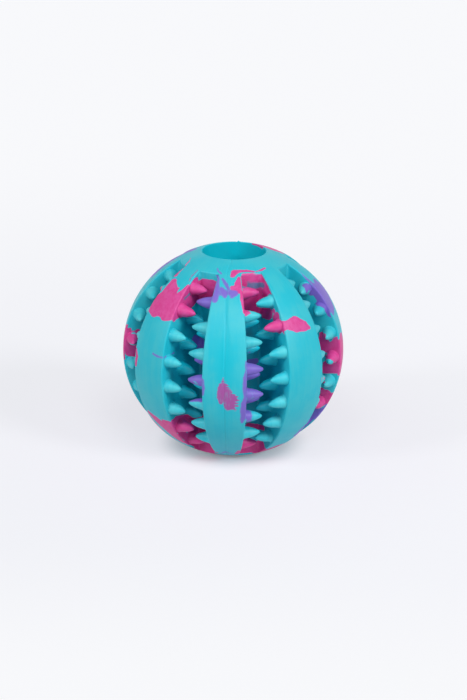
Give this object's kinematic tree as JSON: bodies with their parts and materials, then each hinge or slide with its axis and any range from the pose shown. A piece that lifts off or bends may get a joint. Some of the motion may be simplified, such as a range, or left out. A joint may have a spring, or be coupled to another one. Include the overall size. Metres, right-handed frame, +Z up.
{
  "type": "treat dispensing ball",
  "caption": "Hollow rubber ball for pets, with an open mouth for treats and ribs parted by grooves whose walls carry staggered rows of soft pointed teeth.",
  "frame": {"origin": "centre of the flat ring round the lower opening, on the plane that the ball stands on", "axes": "+Z up along the ball's axis, from the lower opening to the mouth; the first rib, which carries the parting line, faces -Y"},
  "size_m": [0.07, 0.07, 0.0642],
  "materials": {
    "marbled_rubber": "satin moulded rubber, turquoise marbled with pink and purple"
  },
  "bodies": {
    "root": {"core_wall": "marbled_rubber", "mouth_collar": "marbled_rubber", "base_collar": "marbled_rubber", "rib_1": "marbled_rubber", "rib_2": "marbled_rubber", "rib_3": "marbled_rubber", "rib_4": "marbled_rubber", "rib_5": "marbled_rubber", "rib_6": "marbled_rubber", "rib_7": "marbled_rubber", "rib_8": "marbled_rubber", "teeth_1_left_outer": "marbled_rubber", "teeth_1_left_inner": "marbled_rubber", "teeth_1_right_outer": "marbled_rubber", "teeth_1_right_inner": "marbled_rubber", "teeth_2_left_outer": "marbled_rubber", "teeth_2_left_inner": "marbled_rubber", "teeth_2_right_outer": "marbled_rubber", "teeth_2_right_inner": "marbled_rubber", "teeth_3_left_outer": "marbled_rubber", "teeth_3_left_inner": "marbled_rubber", "teeth_3_right_outer": "marbled_rubber", "teeth_3_right_inner": "marbled_rubber", "teeth_4_left_outer": "marbled_rubber", "teeth_4_left_inner": "marbled_rubber", "teeth_4_right_outer": "marbled_rubber", "teeth_4_right_inner": "marbled_rubber", "teeth_5_left_outer": "marbled_rubber", "teeth_5_left_inner": "marbled_rubber", "teeth_5_right_outer": "marbled_rubber", "teeth_5_right_inner": "marbled_rubber", "teeth_6_left_outer": "marbled_rubber", "teeth_6_left_inner": "marbled_rubber", "teeth_6_right_outer": "marbled_rubber", "teeth_6_right_inner": "marbled_rubber", "teeth_7_left_outer": "marbled_rubber", "teeth_7_left_inner": "marbled_rubber", "teeth_7_right_outer": "marbled_rubber", "teeth_7_right_inner": "marbled_rubber", "teeth_8_left_outer": "marbled_rubber", "teeth_8_left_inner": "marbled_rubber", "teeth_8_right_outer": "marbled_rubber", "teeth_8_right_inner": "marbled_rubber"}
  },
  "joints": []
}
